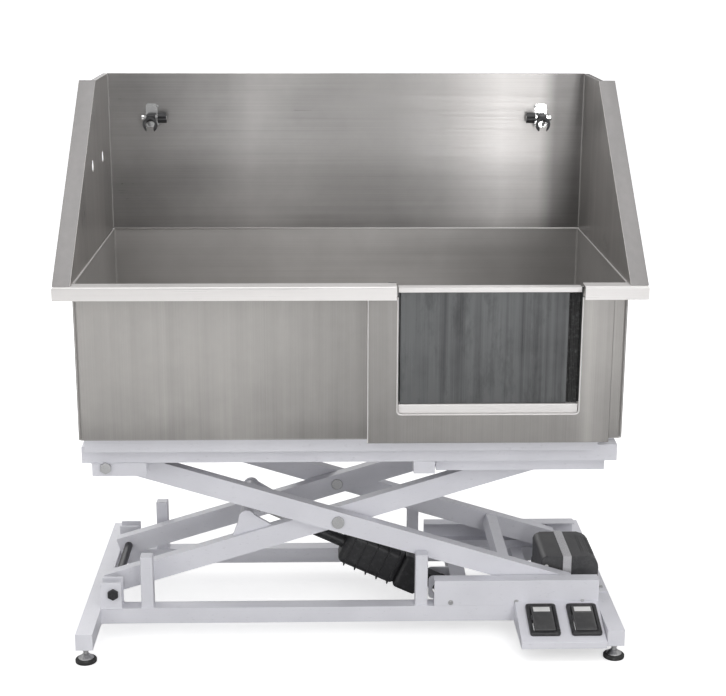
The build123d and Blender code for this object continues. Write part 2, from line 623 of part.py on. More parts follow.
def pedals():
    outline = [(PEDAL_BACK_Y, PEDAL_LOW), (PEDAL_BACK_Y, PEDAL_TOP[0]), (PEDAL_FRONT_Y, PEDAL_TOP[1]),
               (PEDAL_FRONT_Y, PEDAL_LOW)]
    wall = 2
    hollow_outline = [(PEDAL_BACK_Y - wall, PEDAL_LOW - 1), (PEDAL_BACK_Y - wall, PEDAL_TOP[0] - 2 * wall),
                      (PEDAL_FRONT_Y + wall, PEDAL_TOP[1] - wall), (PEDAL_FRONT_Y + wall, PEDAL_LOW - 1)]
    lo, hi = PEDAL_BOX_X
    body = plate_yz(outline, lo, hi) - plate_yz(hollow_outline, lo + wall, hi - wall)
    housings = []
    for x, name in zip(PEDAL_MID_X, ("pedal_up", "pedal_down")):
        wide, deep = PEDAL_PAD
        body -= pedal_place(x, PEDAL_DOWN_SLOPE, 0) * Box(wide + 8, deep + 8, 12)
        tray = pedal_place(x, PEDAL_DOWN_SLOPE, 4) * Box(wide + 20, deep + 20, 8)
        tray += pedal_place(x, PEDAL_DOWN_SLOPE, -10) * Box(wide + 7.6, deep + 7.6, 20)
        tray -= pedal_place(x, PEDAL_DOWN_SLOPE, 2) * Box(wide + 2, deep + 2, 32)
        housings.append(tray)
        pad = pedal_place(x, PEDAL_DOWN_SLOPE, 7) * Box(wide, deep, 8)
        for i in range(9):
            pad += pedal_place(x, 44 + 8 * i, 11.6) * Box(46, 4, 1.6)
        pad += pedal_place(x, 32, 12) * Box(38, 10, 2)
        nodes[name] = pad
    nodes["pedal_box"] = body
    nodes["pedal_housings"] = group(*housings)


# ---- control box and cables -----------------------------------------------------------------------
def control():
    top = BASE_Z + TUBE
    tray = block((430, 639), (CONTROL_Y[0] - 8, CONTROL_Y[1] + 8), (top, top + 3))
    tray += hollow((430, 460), (RAIL_Y[1], other_side(RAIL_Y)[0]), (top - 30, top), wall=2)
    nodes["control_tray"] = tray
    box = block(CONTROL_X, CONTROL_Y, CONTROL_Z)
    box = fillet(box.edges().filter_by(Axis.Y).group_by(Axis.Z)[-1], 26)
    box = fillet(box.edges().filter_by(Axis.Z), 10)
    nodes["control_box"] = box
    t = 1.5
    hoop = block(STRAP_X, (CONTROL_Y[0] - t, CONTROL_Y[1] + t), (CONTROL_Z[0], CONTROL_Z[1] + t))
    nodes["control_strap"] = hoop - block((STRAP_X[0] - 1, STRAP_X[1] + 1), CONTROL_Y, (0, CONTROL_Z[1]))
    face = CONTROL_X[0]
    plugs = []
    for y in PLUG_Y:
        plug = rod_x(face - 40, face, y, PLUG_Z, 11)
        plugs.append(plug + rod_x(face - PLUG_REACH, face - 39, y, PLUG_Z, 6))
    nodes["connector_plugs"] = group(*plugs)


def cable(points, r):
    """Round cable: straight runs joined by arcs as large as the runs allow."""
    route = [Vector(*p) for p in points]
    radii = []
    for a, b, c in zip(route, route[1:], route[2:]):
        turn = math.radians((b - a).get_angle(c - b))
        radii.append(0.45 * min((b - a).length, (c - b).length) / math.tan(turn / 2))
    path = FilletPolyline(*route, radius=radii)
    return sweep(Plane(origin=path @ 0, z_dir=path % 0) * Circle(r), path=path)


def cables():
    """Leads from the plugs: one under the rail into the pedal box, one into the actuator's cross tube."""
    start = (CONTROL_X[0] - PLUG_REACH, PLUG_Z)
    nodes["pedal_lead"] = cable([(start[0], PLUG_Y[0], start[1]), *PEDAL_ROUTE], LEAD_R)
    nodes["actuator_lead"] = cable([(start[0], PLUG_Y[1], start[1]), *ACTUATOR_ROUTE], LEAD_R)


# ---- feet -----------------------------------------------------------------------------------------
def feet():
    for sx, side in ((-1, "left"), (1, "right")):
        for y, end in zip(FOOT_Y, ("front", "rear")):
            x = sx * FOOT_X
            pad = Pos(x, y, 6) * Cylinder(PAD_R, 12)
            pad = chamfer(pad.edges().group_by(Axis.Z)[-1], 4)
            nut = extrude(Plane(origin=(x, y, 30)) * RegularPolygon(11, 6), amount=7.6)
            body = pad + rod_z(11, 20, x, y, 12) + rod_z(19, BASE_Z + 14, x, y, STUD_R) + nut
            nodes[f"foot_{end}_{side}"] = body


# ---- build ----------------------------------------------------------------------------------------
for make in (base_frame, lower_tracks, actuator_mount, arms, pivots, rollers, arm_links, actuator,
             upper_frame, basin, rim, hood, skirts, drain, door, holders, pedals, control, cables, feet):
    make()

os.makedirs("parts", exist_ok=True)
for name, shape in nodes.items():
    export_step(shape, f"parts/{name}.step")
print(len(nodes), "nodes")
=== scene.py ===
import bmesh
import bpy
import json
import math
import random

from mathutils import Matrix, Vector

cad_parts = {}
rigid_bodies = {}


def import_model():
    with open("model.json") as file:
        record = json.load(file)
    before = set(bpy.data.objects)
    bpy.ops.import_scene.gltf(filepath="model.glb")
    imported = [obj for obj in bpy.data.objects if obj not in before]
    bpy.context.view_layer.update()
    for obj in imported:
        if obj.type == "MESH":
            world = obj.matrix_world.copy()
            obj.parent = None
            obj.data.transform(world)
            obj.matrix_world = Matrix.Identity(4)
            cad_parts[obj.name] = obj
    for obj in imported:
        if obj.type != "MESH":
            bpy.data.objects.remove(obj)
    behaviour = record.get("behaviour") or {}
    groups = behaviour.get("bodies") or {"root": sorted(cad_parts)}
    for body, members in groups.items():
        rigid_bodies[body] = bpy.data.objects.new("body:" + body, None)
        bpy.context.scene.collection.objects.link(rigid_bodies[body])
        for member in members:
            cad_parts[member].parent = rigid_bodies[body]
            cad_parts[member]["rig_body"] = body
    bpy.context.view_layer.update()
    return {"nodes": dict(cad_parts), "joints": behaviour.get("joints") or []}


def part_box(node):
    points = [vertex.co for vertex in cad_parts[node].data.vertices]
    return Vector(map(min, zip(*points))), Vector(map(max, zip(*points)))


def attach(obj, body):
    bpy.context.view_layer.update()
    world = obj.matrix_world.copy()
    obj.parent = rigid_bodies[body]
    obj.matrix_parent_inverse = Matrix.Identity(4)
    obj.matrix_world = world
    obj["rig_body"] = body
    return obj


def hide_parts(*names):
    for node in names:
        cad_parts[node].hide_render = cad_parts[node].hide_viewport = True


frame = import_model()
nodes = frame["nodes"]
scene = bpy.context.scene

MM = 0.001
PHOTO_WIDTH = 726
SHEET = 2 * MM              # thickness of the steel sheets
PEDAL_FALL = (39, 147)      # the pedal box's top drops this far over this run, mm
FRAME_BOLT_X = (-0.317, 0.318)
TINY = 1e-6
SAME_POINT = 2e-5           # CAD vertices nearer than this are one vertex


# ---- camera, light and floor ----------------------------------------------------------------------
def camera():
    """Camera at the photograph's place: focal length in photo pixels, angles in degrees."""
    focal, down, turn, roll = 1501.3, 14.98, -1.54, 0.19
    data = bpy.data.cameras.new("photo_camera")
    data.sensor_fit = "HORIZONTAL"
    data.sensor_width = 36
    data.lens = focal / PHOTO_WIDTH * data.sensor_width
    data.clip_end = 50
    obj = bpy.data.objects.new("photo_camera", data)
    aim = Matrix.Rotation(math.radians(turn), 4, "Z") @ Matrix.Rotation(math.radians(90 - down), 4, "X")
    place = Matrix.Translation((-0.061, -3.5394, 1.6193))
    obj.matrix_world = place @ aim @ Matrix.Rotation(math.radians(roll), 4, "Z")
    scene.collection.objects.link(obj)
    scene.camera = obj


def area_light(name, place, target, size, power):
    data = bpy.data.lights.new(name, "AREA")
    data.shape = "RECTANGLE"
    data.size, data.size_y = size
    data.energy = power
    obj = bpy.data.objects.new(name, data)
    obj.location = place
    obj.rotation_euler = (Vector(target) - Vector(place)).to_track_quat("-Z", "Y").to_euler()
    scene.collection.objects.link(obj)


def studio():
    """White backdrop for the camera, and a soft grey room with a bright ceiling for the steel to mirror."""
    scene.view_settings.view_transform = "Standard"
    world = bpy.data.worlds.new("studio")
    world.use_nodes = True
    scene.world = world
    tree = world.node_tree
    tree.nodes.clear()
    out = tree.nodes.new("ShaderNodeOutputWorld")
    seen = tree.nodes.new("ShaderNodeBackground")
    seen.inputs["Color"].default_value = (1, 1, 1, 1)
    seen.inputs["Strength"].default_value = 1.0
    room = tree.nodes.new("ShaderNodeBackground")
    room.inputs["Strength"].default_value = 1.0
    coord = tree.nodes.new("ShaderNodeTexCoord")
    split = tree.nodes.new("ShaderNodeSeparateXYZ")
    ramp = tree.nodes.new("ShaderNodeValToRGB")
    stops = ((0.0, 0.42), (0.40, 0.45), (0.50, 0.40), (0.60, 0.38), (0.80, 0.60), (1.0, 0.85))
    fill_ramp(ramp, [(at, (v, v, v)) for at, v in stops])
    remap = tree.nodes.new("ShaderNodeMapRange")
    remap.inputs["From Min"].default_value = -1
    path = tree.nodes.new("ShaderNodeLightPath")
    mix = tree.nodes.new("ShaderNodeMixShader")
    link = tree.links.new
    link(coord.outputs["Generated"], split.inputs[0])
    link(split.outputs["Z"], remap.inputs["Value"])
    link(remap.outputs["Result"], ramp.inputs[0])
    link(ramp.outputs[0], room.inputs["Color"])
    link(path.outputs["Is Camera Ray"], mix.inputs[0])
    link(room.outputs[0], mix.inputs[1])
    link(seen.outputs[0], mix.inputs[2])
    link(mix.outputs[0], out.inputs["Surface"])
    middle = (0, 0, 0.8)
    area_light("key", (1.7, -3.6, 2.6), middle, (1.8, 1.6), 24)
    area_light("fill", (-2.8, -2.6, 1.8), middle, (1.6, 2.0), 14)
    area_light("top", (0, -0.2, 3.4), middle, (2.6, 1.6), 26)
    area_light("glare", (0.95, -4.6, 0.95), (0.45, 0.35, 1.2), (0.4, 0.7), 16)
    area_light("back", (-1.2, 3.6, 1.8), middle, (2.4, 1.6), 22)
    area_light("low", (0, -2.6, 0.25), (0, 0, 0.25), (3.0, 0.3), 7)

    bm = bmesh.new()
    bmesh.ops.create_grid(bm, x_segments=1, y_segments=1, size=60)
    floor = mesh_object("studio_floor", bm)
    floor.data.materials.append(floor_paper())


# ---- material helpers -----------------------------------------------------------------------------
def fill_ramp(ramp, stops):
    elements = ramp.color_ramp.elements
    while len(elements) < len(stops):
        elements.new(0.5)
    for element, (at, colour) in zip(elements, stops):
        element.position = at
        element.color = (*colour, 1)


class Shader:
    """A Principled material built up from noise layers in object coordinates."""

    def __init__(self, name, **sockets):
        self.mat = bpy.data.materials.new(name)
        self.mat.use_nodes = True
        self.tree = self.mat.node_tree
        self.bsdf = self.tree.nodes["Principled BSDF"]
        for key, value in sockets.items():
            self.bsdf.inputs[key.replace("_", " ").title()].default_value = value
        self.coord = self.add("ShaderNodeTexCoord").outputs["Object"]

    def add(self, kind, **settings):
        node = self.tree.nodes.new(kind)
        for key, value in settings.items():
            setattr(node, key, value)
        return node

    def link(self, a, b):
        self.tree.links.new(a, b)

    def stretched(self, scale):
        mapping = self.add("ShaderNodeMapping")
        mapping.inputs["Scale"].default_value = scale
        self.link(self.coord, mapping.inputs["Vector"])
        return mapping.outputs[0]

    def noise(self, scale, detail=3, roughness=0.55):
        tex = self.add("ShaderNodeTexNoise")
        tex.inputs["Scale"].default_value = 1
        tex.inputs["Detail"].default_value = detail
        tex.inputs["Roughness"].default_value = roughness
        self.link(self.stretched(scale), tex.inputs["Vector"])
        return tex.outputs["Fac"]

    def remap(self, value, low, high, source=(0.3, 0.7)):
        node = self.add("ShaderNodeMapRange")
        node.inputs["From Min"].default_value, node.inputs["From Max"].default_value = source
        node.inputs["To Min"].default_value = low
        node.inputs["To Max"].default_value = high
        self.link(value, node.inputs["Value"])
        return node.outputs["Result"]

    def combine(self, a, b, operation="MULTIPLY"):
        node = self.add("ShaderNodeMath", operation=operation)
        for socket, value in zip(node.inputs, (a, b)):
            if isinstance(value, (int, float)):
                socket.default_value = value
            else:
                self.link(value, socket)
        return node.outputs[0]

    def mix(self, factor, a, b, blend="MIX"):
        node = self.add("ShaderNodeMix", data_type="RGBA", blend_type=blend)
        for socket, value in zip((node.inputs[0], node.inputs[6], node.inputs[7]), (factor, a, b)):
            if isinstance(value, (int, float)):
                socket.default_value = value
            elif isinstance(value, tuple):
                socket.default_value = (*value, 1)
            else:
                self.link(value, socket)
        return node.outputs[2]

    def along_x(self, stops, reach=0.65):
        """Grey tone from (x, tone) stops; reach is the half length that the ramp covers."""
        split = self.add("ShaderNodeSeparateXYZ")
        self.link(self.coord, split.inputs[0])
        ramp = self.add("ShaderNodeValToRGB")
        fill_ramp(ramp, [((x + reach) / (2 * reach), (tone, tone, tone)) for x, tone in stops])
        self.link(self.remap(split.outputs["X"], 0, 1, (-reach, reach)), ramp.inputs[0])
        return ramp.outputs[0]

    def colour(self, value):
        self.link(value, self.bsdf.inputs["Base Color"])

    def rough(self, value):
        self.link(value, self.bsdf.inputs["Roughness"])

    def bump(self, height, strength, distance):
        node = self.add("ShaderNodeBump")
        node.inputs["Strength"].default_value = strength
        node.inputs["Distance"].default_value = distance
        self.link(height, node.inputs["Height"])
        self.link(node.outputs[0], self.bsdf.inputs["Normal"])


# ---- materials ------------------------------------------------------------------------------------
def floor_paper():
    """White paper that the camera sees bright, and that lights the object no more than grey paper would."""
    paper = Shader("floor_paper", roughness=0.9, emission_color=(1, 1, 1, 1))
    seen = paper.add("ShaderNodeLightPath").outputs["Is Camera Ray"]
    paper.link(paper.combine(seen, 0.55), paper.bsdf.inputs["Emission Strength"])
    grey = paper.mix(paper.noise((3, 3, 3)), (0.50, 0.50, 0.50), (0.54, 0.54, 0.54))
    paper.colour(paper.mix(seen, grey, (0.93, 0.93, 0.93)))
    return paper.mat


# noise scales of the brushing, by the axis that it runs along
GRAIN = {"X": (2.5, 700, 700), "Z": (700, 700, 2.5)}
STREAK = {"X": (0.7, 60, 60), "Z": (60, 60, 0.7)}


def steel(name, light, dark, grain, rough, streak=0.35, clouds=0.5, marks=0.0, metal=0.82,
          relief=0.10, painted_light_x=None):
    """Brushed stainless: fine grain along one axis, broad streaks, cloudy patches and faint water marks.

    The x stops (x in metres, tone) scale the colour along the tub: painted shade where the tone is below 1,
    painted highlight where it is above 1.
    """
    s = Shader(name, metallic=metal, anisotropic=0.3)
    fine = s.remap(s.noise(GRAIN[grain], detail=2), 0.0, 1.0)
    broad = s.remap(s.noise(STREAK[grain], detail=4), 0.0, 1.0)
    cloud = s.remap(s.noise((5, 5, 5), detail=4, roughness=0.6), 0.0, 1.0)
    tone = s.combine(s.combine(broad, streak), s.combine(cloud, clouds), "ADD")
    tone = s.combine(tone, s.combine(fine, 0.28), "ADD")
    colour = s.mix(s.remap(tone, 0, 1, (0.1, 0.9)), dark, light)
    if marks:
        drops = s.remap(s.noise((26, 26, 9), detail=5, roughness=0.7), 0, 1, (0.52, 0.66))
        colour = s.mix(s.combine(drops, marks), colour, tuple(0.55 * c for c in dark))
    # painted light: the colour is darkened and lightened along x to paint shade and highlight
    if painted_light_x:
        colour = s.mix(1.0, colour, s.along_x(painted_light_x), "MULTIPLY")
    s.colour(colour)
    s.rough(s.combine(s.remap(fine, rough - 0.05, rough + 0.06, (0, 1)),
                      s.remap(cloud, -0.04, 0.05, (0, 1)), "ADD"))
    s.bump(s.combine(fine, s.combine(broad, 0.5), "ADD"), relief, 0.0002)
    return s.mat


def powder_paint(name, light, dark):
    """Satin powder coat: fine orange peel, slightly uneven tone, scuffs."""
    s = Shader(name, coat_weight=0.15, coat_roughness=0.3)
    cloud = s.remap(s.noise((7, 7, 7), detail=4), 0, 1)
    peel = s.noise((900, 900, 900), detail=2)
    scuff = s.remap(s.noise((70, 70, 160), detail=5, roughness=0.7), 0, 1, (0.60, 0.70))
    base = s.mix(cloud, dark, light)
    s.colour(s.mix(s.combine(scuff, 0.25), base, tuple(0.6 * c for c in dark)))
    s.rough(s.combine(s.remap(cloud, 0.34, 0.46, (0, 1)), s.combine(scuff, 0.1), "ADD"))
    s.bump(peel, 0.06, 0.0004)
    return s.mat


def turned_metal(name, light, dark, rough, scale=(500, 30, 500)):
    """Machined or plated steel with fine tool marks."""
    s = Shader(name, metallic=1.0)
    ring = s.remap(s.noise(scale, detail=3), 0, 1)
    s.colour(s.mix(ring, dark, light))
    s.rough(s.remap(ring, rough - 0.05, rough + 0.08, (0, 1)))
    s.bump(ring, 0.08, 0.0002)
    return s.mat


def moulded(name, light, dark, rough, grain=1400, strength=0.18, dust=0.12):
    """Moulded plastic or rubber: leathery spark texture with a little dust."""
    s = Shader(name)
    spark = s.noise((grain, grain, grain), detail=2)
    cloud = s.remap(s.noise((14, 14, 14), detail=4), 0, 1)
    dusty = s.remap(s.noise((90, 90, 90), detail=5, roughness=0.7), 0, 1, (0.5, 0.7))
    base = s.mix(cloud, dark, light)
    s.colour(s.mix(s.combine(dusty, dust), base, (0.30, 0.30, 0.30)))
    s.rough(s.combine(s.remap(spark, rough - 0.06, rough + 0.06), s.combine(dusty, 0.1), "ADD"))
    s.bump(spark, strength, 0.0004)
    return s.mat


def webbing(name, light, dark):
    """Woven strap: a diagonal weave with a soft sheen."""
    s = Shader(name, roughness=0.75, sheen_weight=0.3)
    across = s.add("ShaderNodeTexWave", wave_type="BANDS", bands_direction="DIAGONAL")
    across.inputs["Scale"].default_value = 260
    across.inputs["Distortion"].default_value = 0.6
    s.link(s.coord, across.inputs["Vector"])
    s.colour(s.mix(across.outputs["Fac"], dark, light))
    s.bump(across.outputs["Fac"], 0.4, 0.0006)
    return s.mat


MATS = {
    # hood: the x stops paint shade at both ends beside the wings and a painted glare towards the right
    "hood": steel("steel_hood", (0.50, 0.485, 0.475), (0.36, 0.35, 0.345), "X", 0.36, streak=0.2,
                  relief=0.02,
                  painted_light_x=((-0.60, 0.62), (-0.42, 0.78), (-0.25, 1.1), (-0.02, 0.78), (0.12, 0.74),
                          (0.25, 0.9), (0.4, 1.5), (0.5, 1.3), (0.54, 0.62))),
    "wing": steel("steel_wing", (0.52, 0.50, 0.485), (0.37, 0.36, 0.35), "Z", 0.34),
    # flange: a darker, rougher copy of the wing steel, painted shade on the wings' folded edges
    "flange": steel("steel_flange_painted_shade", (0.27, 0.26, 0.258), (0.20, 0.195, 0.193), "Z", 0.42, streak=0.2),
    # basin: a lighter, less metallic copy of the stainless for the inside of the tub, painted light; its x
    # stops paint shade towards both ends
    "basin": steel("steel_basin_painted_light", (0.72, 0.70, 0.685), (0.57, 0.555, 0.54), "X", 0.42, streak=0.2,
                   metal=0.55,
                   painted_light_x=((-0.60, 0.72), (-0.25, 0.95), (0.0, 1.0), (0.25, 0.92), (0.55, 0.66))),
    # front: the x stops paint bands of shade and highlight across the front wall
    "front": steel("steel_front", (0.43, 0.415, 0.40), (0.305, 0.295, 0.285), "Z", 0.36, clouds=0.6,
                   streak=0.25,
                   painted_light_x=((-0.60, 1.0), (-0.25, 0.95), (-0.08, 0.78), (0.03, 0.66), (0.04, 0.72),
                           (0.5, 0.78), (0.53, 1.05), (0.575, 0.85))),
    # rim: a lighter, less metallic copy of the stainless, painted light on the rim, beads and folded edges
    "rim": steel("steel_rim_painted_light", (0.82, 0.80, 0.79), (0.72, 0.70, 0.69), "X", 0.34, streak=0.15, metal=0.35),
    # door: a much darker copy of the stainless, painted shade on the door panel
    "door": steel("steel_door_painted_shade", (0.115, 0.118, 0.12), (0.045, 0.045, 0.047), "Z", 0.34, streak=0.85,
                  marks=0.3),
    "paint": powder_paint("powder_coat", (0.83, 0.83, 0.88), (0.76, 0.76, 0.81)),
    "zinc": turned_metal("zinc_steel", (0.66, 0.66, 0.66), (0.46, 0.46, 0.47), 0.34),
    "polished": turned_metal("polished_steel", (0.86, 0.86, 0.86), (0.74, 0.74, 0.74), 0.16, (200, 200, 30)),
    "dark": turned_metal("dark_bolts", (0.10, 0.10, 0.105), (0.05, 0.05, 0.052), 0.4),
    "black": moulded("black_housing", (0.030, 0.030, 0.032), (0.016, 0.016, 0.018), 0.42),
    "grey": moulded("grey_housing", (0.085, 0.085, 0.088), (0.055, 0.055, 0.058), 0.46),
    "pad": moulded("pedal_pad", (0.10, 0.10, 0.10), (0.065, 0.065, 0.068), 0.6, 700, 0.35),
    "white": moulded("white_legend", (0.85, 0.85, 0.84), (0.78, 0.78, 0.77), 0.5, dust=0.05),
    "rubber": moulded("black_rubber", (0.030, 0.030, 0.030), (0.018, 0.018, 0.018), 0.7, 500, 0.3, 0.3),
    "nylon": moulded("nylon_roller", (0.72, 0.71, 0.68), (0.62, 0.61, 0.58), 0.45, 300, 0.1),
    "strap": webbing("strap_webbing", (0.68, 0.67, 0.69), (0.46, 0.46, 0.48)),
}


# ---- mesh helpers ---------------------------------------------------------------------------------
def mesh_object(name, bm):
    """Linked object from a bmesh, which is used up."""
    bmesh.ops.recalc_face_normals(bm, faces=bm.faces)
    mesh = bpy.data.meshes.new(name)
    bm.to_mesh(mesh)
    bm.free()
    obj = bpy.data.objects.new(name, mesh)
    scene.collection.objects.link(obj)
    return obj


def finish_piece(obj, mat, body, smooth=40):
    """Material, shading, slot and body of a piece."""
    obj.data.materials.append(MATS[mat])
    obj.data.shade_smooth()
    obj.data.set_sharp_from_angle(angle=math.radians(smooth))
    shading = obj.modifiers.new("even_faces", "WEIGHTED_NORMAL")
    shading.keep_sharp = True
    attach(obj, body)


def soften(node, width, mat):
    """The CAD node with its edges rounded, standing in for it."""
    source = nodes[node]
    bm = bmesh.new()
    bm.from_mesh(source.data)
    bmesh.ops.remove_doubles(bm, verts=bm.verts, dist=SAME_POINT)
    bmesh.ops.dissolve_limit(bm, angle_limit=math.radians(0.5), verts=bm.verts, edges=bm.edges)
    sharp = [e for e in bm.edges if e.is_manifold and e.calc_face_angle(0) > math.radians(32)]
    bmesh.ops.bevel(bm, geom=sharp, offset=width * MM, segments=2, profile=0.5,
                    affect="EDGES", clamp_overlap=True)
    piece = mesh_object(node + "_finished", bm)
    finish_piece(piece, mat, source["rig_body"], 50)
    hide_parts(node)
    return piece


# ---- mesh tools for the made pieces ---------------------------------------------------------------
def add_block(bm, lo, hi, radius, segments=3, place=Matrix.Identity(4)):
    """Block between two corners with all its edges rounded."""
    size = [b - a for a, b in zip(lo, hi)]
    middle = [(a + b) / 2 for a, b in zip(lo, hi)]
    part = bmesh.new()
    bmesh.ops.create_cube(part, size=1, matrix=Matrix.Translation(middle) @ Matrix.Diagonal((*size, 1)))
    bmesh.ops.bevel(part, geom=part.edges, offset=radius, segments=segments, profile=0.5,
                    affect="EDGES", clamp_overlap=True)
    merge(bm, part, place)


def merge(bm, part, place=Matrix.Identity(4)):
    """Part added to bm at a place; part is used up."""
    part.transform(place)
    mesh = bpy.data.meshes.new("part")
    part.to_mesh(mesh)
    part.free()
    bm.from_mesh(mesh)
    bpy.data.meshes.remove(mesh)


def add_lathe(bm, profile, place, steps=32):
    """Solid of revolution about local Z from (radius, height) points; a radius of 0 closes an end."""
    part = bmesh.new()
    rings = []
    for r, h in profile:
        if r == 0:
            rings.append([part.verts.new((0, 0, h))])
        else:
            turns = [2 * math.pi * i / steps for i in range(steps)]
            rings.append([part.verts.new((r * math.cos(a), r * math.sin(a), h)) for a in turns])
    for a, b in zip(rings, rings[1:]):
        for i in range(steps):
            j = (i + 1) % steps
            corners = [a[i % len(a)], a[j % len(a)], b[j % len(b)], b[i % len(b)]]
            unique = list(dict.fromkeys(corners))
            if len(unique) > 2:
                part.faces.new(unique)
    merge(bm, part, place)


def add_tube(bm, points, radius, steps=10, closed=False, ripple=0.0, seed=0):
    """Round bead along points; ripple makes it a weld bead."""
    rng = random.Random(seed)
    points = [Vector(p) for p in points]
    if ripple:
        points = divided(points, radius * 1.1, closed)
    count = len(points)
    rings = []
    for i, p in enumerate(points):
        before = points[(i - 1) % count] if closed or i else p
        after = points[(i + 1) % count] if closed or i < count - 1 else p
        ahead = (after - before).normalized()
        side = ahead.orthogonal().normalized()
        up = ahead.cross(side)
        size = radius * (1 + ripple * (rng.random() - 0.5) + ripple * 0.5 * (i % 2))
        turns = [2 * math.pi * k / steps for k in range(steps)]
        rings.append([bm.verts.new(p + size * (math.cos(a) * side + math.sin(a) * up)) for a in turns])
    pairs = list(zip(rings, rings[1:])) + ([(rings[-1], rings[0])] if closed else [])
    for a, b in pairs:
        shift = min(range(steps), key=lambda k: (a[0].co - b[k].co).length)
        for k in range(steps):
            bm.faces.new((a[k], a[(k + 1) % steps], b[(k + 1 + shift) % steps], b[(k + shift) % steps]))
    if not closed:
        bm.faces.new(rings[0])
        bm.faces.new(rings[-1])


def divided(points, step, closed):
    """The same line with a point about every step."""
    ends = points[1:] + ([points[0]] if closed else [])
    out = []
    for a, b in zip(points, ends):
        parts = max(1, round((b - a).length / step))
        out += [a.lerp(b, k / parts) for k in range(parts)]
    return out if closed else out + [points[-1]]


def corner_arc(x, y, radius, first, steps=6):
    """Quarter circle about (x, y), from the given quarter on."""
    turns = [math.pi / 2 * (first + k / steps) for k in range(steps + 1)]
    return [(x + radius * math.cos(a), y + radius * math.sin(a)) for a in turns]


def in_mm(*points):
    return [tuple(v * MM for v in p) for p in points]


def pointing(place, direction):
    """Matrix that puts local Z along a direction at a place."""
    turn = Vector((0, 0, 1)).rotation_difference(Vector(direction)).to_matrix().to_4x4()
    return Matrix.Translation(place) @ turn


def add_bolt(bm, place, direction, size=0.006):
    """Hexagon head with a washer, standing on its seat."""
    at = pointing(place, direction)
    add_lathe(bm, [(0, 0), (size * 1.25, 0), (size * 1.25, size * 0.2), (0, size * 0.2)], at, 20)
    head = [(0, size * 0.2), (size, size * 0.2), (size, size * 0.75), (size * 0.86, size * 0.88),
            (0, size * 0.88)]
    add_lathe(bm, head, at, 6)


def add_screw(bm, place, direction, size=0.004):
    """Domed cross-head screw."""
    dome = [(size * math.cos(a), size * 0.45 * math.sin(a)) for a in (0, 0.35, 0.7, 1.05)]
    dome = [(0, 0)] + dome + [(size * 0.3, size * 0.42), (size * 0.2, size * 0.2), (0, size * 0.2)]
    add_lathe(bm, dome, pointing(place, direction), 16)


def fold_section(run, drop, thick, radius, steps=6):
    """Closed outline (out, up) of a sheet that runs outwards, bends and drops by its edge."""
    outline = [(0, 0)]
    for k in range(steps + 1):
        a = math.pi / 2 * (1 - k / steps)
        outline.append((run - radius + radius * math.cos(a), -radius + radius * math.sin(a)))
    outline += [(run, -drop), (run - thick, -drop)]
    inner = max(radius - thick, 0.0005)
    for k in range(steps + 1):
        a = math.pi / 2 * k / steps
        outline.append((run - radius + inner * math.cos(a), -radius + inner * math.sin(a)))
    outline.append((0, -thick))
    return outline


def add_sweep(bm, outline, stations):
    """Outline carried through stations of (base point, outward vector), with flat ends."""
    rings = [[bm.verts.new(base + outward * o + Vector((0, 0, u))) for o, u in outline]
             for base, outward in stations]
    for a, b in zip(rings, rings[1:]):
        band(bm, a, b)
    bm.faces.new(rings[0])
    bm.faces.new(rings[-1])


def band(bm, a, b):
    """Faces between two closed rings of as many vertices."""
    count = len(a)
    for k in range(count):
        bm.faces.new((a[k], a[(k + 1) % count], b[(k + 1) % count], b[k]))


# ---- tub details ----------------------------------------------------------------------------------
def folded_rim():
    """Rim of each side in one mitred fold, from the back round the corner to the door."""
    low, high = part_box("rim")
    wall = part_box("basin_front")
    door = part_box("door_panel")
    door_x = (door[0].x + door[1].x) / 2
    front_x = [v.co.x for v in nodes["rim"].data.vertices if v.co.y < wall[0].y]
    left_end = max(x for x in front_x if x < door_x)
    right_end = min(x for x in front_x if x > door_x)
    wall_x, wall_y = wall[1].x, wall[0].y + SHEET
    overhang = wall_y - low.y
    outline = fold_section(overhang, high.z - low.z, SHEET, 5 * MM)
    scale = (high.x - wall_x) / overhang
    bm = bmesh.new()
    for s, end in ((-1, left_end), (1, right_end)):
        stations = [(Vector((s * wall_x, high.y, high.z)), Vector((s * scale, 0, 0))),
                    (Vector((s * wall_x, wall_y, high.z)), Vector((s * scale, -1, 0))),
                    (Vector((end, wall_y, high.z)), Vector((0, -1, 0)))]
        add_sweep(bm, outline, stations)
    rim = mesh_object("rim_folded", bm)
    finish_piece(rim, "rim", "tub", 30)
    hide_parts("rim")


def hood_seams():
    """Raised joint where the hood stands on the basin, and the beads in the corners of hood and basin."""
    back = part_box("basin_back")
    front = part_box("basin_front")[0].y
    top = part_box("splash_back")[1].z
    rim, foot = back[1].z, back[0].z + SHEET
    x, y = back[1].x - SHEET, back[0].y
    lip = 2.2 * MM
    bm = bmesh.new()
    add_tube(bm, [(-x + lip, front + 2 * SHEET, rim), (-x + lip, y - lip, rim), (x - lip, y - lip, rim),
                  (x - lip, front + 2 * SHEET, rim)], lip)
    seam = mesh_object("hood_seam", bm)
    # the seam bead takes the lighter rim steel: painted highlight along the joint
    finish_piece(seam, "rim", "tub")
    bm = bmesh.new()
    weld = 2.08 * MM
    near = front + SHEET
    beads = []
    for s in (-1, 1):
        beads += [((s * x, y, rim + 4 * MM), (s * x, y, top - 3 * MM)),
                  ((s * x, y, foot), (s * x, y, rim - 4 * MM)),
                  ((s * x, near, foot), (s * x, near, rim - 6 * MM)),
                  ((s * x, near, foot), (s * x, y, foot))]
    beads += [((-x, y, foot), (x, y, foot)), ((-x, near, foot), (x, near, foot))]
    for bead in beads:
        add_tube(bm, bead, weld, 8)
    corners = mesh_object("basin_corner_radii", bm)
    # the corner beads take the lighter basin copy of the steel: painted light inside the tub
    finish_piece(corners, "basin", "tub")


